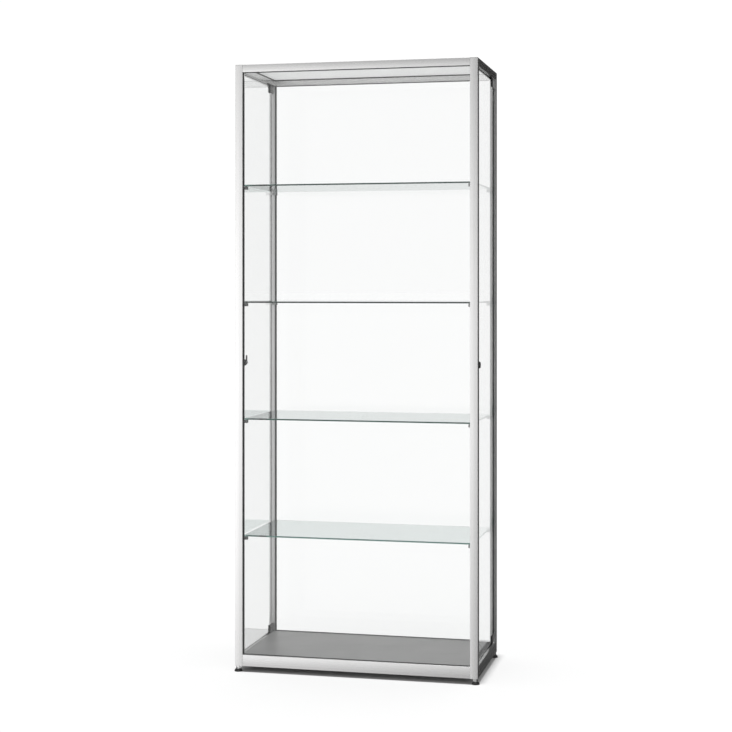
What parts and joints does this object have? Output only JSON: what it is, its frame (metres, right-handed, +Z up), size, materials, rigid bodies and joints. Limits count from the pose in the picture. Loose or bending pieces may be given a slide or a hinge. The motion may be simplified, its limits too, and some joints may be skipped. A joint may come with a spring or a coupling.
{
  "type": "wall mounted showcase",
  "caption": "Tall free-standing aluminium and glass display showcase with hinged, lockable glass side doors, glass shelves and levelling feet.",
  "frame": {"origin": "on the floor, under the middle of the cabinet", "axes": "+Z up, -Y out of the front glass, +X to the right-hand door"},
  "size_m": [0.8088, 0.4088, 1.978],
  "materials": {
    "anodised_aluminium": "natural silver anodised, satin, fine draw lines",
    "cast_metal": "cast, matt nickel look",
    "clamp_metal": "satin",
    "steel": "bright zinc plated",
    "chrome": "polished",
    "lock_black": "black, satin",
    "grey_plastic": "moulded, matt",
    "black_plastic": "moulded, matt",
    "foot_black": "moulded, slightly glossy",
    "black_rubber": "extruded, matt",
    "clear_rubber": "clear soft button",
    "clear_glass": "clear float, ground edges",
    "shelf_glass": "clear float with green ground edges",
    "top_panel_white": "white satin",
    "base_board_grey": "grey melamine laminate on chipboard, fine grained"
  },
  "bodies": {
    "frame": {"base_panel": "base_board_grey", "bottom_rail_front": "anodised_aluminium", "bottom_rail_left": "anodised_aluminium", "bottom_rail_rear": "anodised_aluminium", "bottom_rail_right": "anodised_aluminium", "door_stops": "black_plastic", "foot_inserts": "grey_plastic", "frame_screws": "steel", "front_glass": "clear_glass", "glazing_gaskets": "black_rubber", "hinge_bushes": "black_plastic", "lock_strikes": "steel", "post_caps": "grey_plastic", "post_front_left": "anodised_aluminium", "post_front_right": "anodised_aluminium", "post_rear_left": "anodised_aluminium", "post_rear_right": "anodised_aluminium", "rail_connectors": "cast_metal", "rear_glass": "clear_glass", "shelf_1": "shelf_glass", "shelf_2": "shelf_glass", "shelf_3": "shelf_glass", "shelf_4": "shelf_glass", "shelf_clip_pads": "clear_rubber", "shelf_clips": "cast_metal", "top_panel": "top_panel_white", "top_rail_front": "anodised_aluminium", "top_rail_left": "anodised_aluminium", "top_rail_rear": "anodised_aluminium", "top_rail_right": "anodised_aluminium"},
    "foot_front_left": {"foot_pad_front_left": "foot_black", "foot_stem_front_left": "steel"},
    "foot_front_right": {"foot_pad_front_right": "foot_black", "foot_stem_front_right": "steel"},
    "foot_rear_left": {"foot_pad_rear_left": "foot_black", "foot_stem_rear_left": "steel"},
    "foot_rear_right": {"foot_pad_rear_right": "foot_black", "foot_stem_rear_right": "steel"},
    "left_key_plug": {"left_cam_screw": "chrome", "left_lock_cam": "steel", "left_lock_plug": "chrome"},
    "left_door": {"left_clamp_liners": "black_rubber", "left_clamp_screws": "steel", "left_door_glass": "clear_glass", "left_hinge_clamps": "clamp_metal", "left_hinge_pins": "steel", "left_lock_housing": "lock_black", "left_lock_nut": "lock_black"},
    "right_key_plug": {"right_cam_screw": "chrome", "right_lock_cam": "steel", "right_lock_plug": "chrome"},
    "right_door": {"right_clamp_liners": "black_rubber", "right_clamp_screws": "steel", "right_door_glass": "clear_glass", "right_hinge_clamps": "clamp_metal", "right_hinge_pins": "steel", "right_lock_housing": "lock_black", "right_lock_nut": "lock_black"}
  },
  "joints": [
    {"name": "left_door_hinge", "type": "hinge", "parent": "frame", "child": "left_door", "pos_m": [-0.388, 0.167, 1.0035], "axis": [0, 0, -1], "range_deg": [0, 95]},
    {"name": "left_lock_turn", "type": "hinge", "parent": "left_door", "child": "left_key_plug", "pos_m": [-0.388, -0.148, 1.0055], "axis": [1, 0, 0], "range_deg": [0, 90]},
    {"name": "right_door_hinge", "type": "hinge", "parent": "frame", "child": "right_door", "pos_m": [0.388, 0.167, 1.0035], "axis": [0, 0, 1], "range_deg": [0, 95]},
    {"name": "right_lock_turn", "type": "hinge", "parent": "right_door", "child": "right_key_plug", "pos_m": [0.388, -0.148, 1.0055], "axis": [1, 0, 0], "range_deg": [0, 90]},
    {"name": "foot_front_left_adjust", "type": "slide", "parent": "frame", "child": "foot_front_left", "axis": [0, 0, -1], "range_m": [0, 0.01]},
    {"name": "foot_front_right_adjust", "type": "slide", "parent": "frame", "child": "foot_front_right", "axis": [0, 0, -1], "range_m": [0, 0.01]},
    {"name": "foot_rear_left_adjust", "type": "slide", "parent": "frame", "child": "foot_rear_left", "axis": [0, 0, -1], "range_m": [0, 0.01]},
    {"name": "foot_rear_right_adjust", "type": "slide", "parent": "frame", "child": "foot_rear_right", "axis": [0, 0, -1], "range_m": [0, 0.01]}
  ]
}
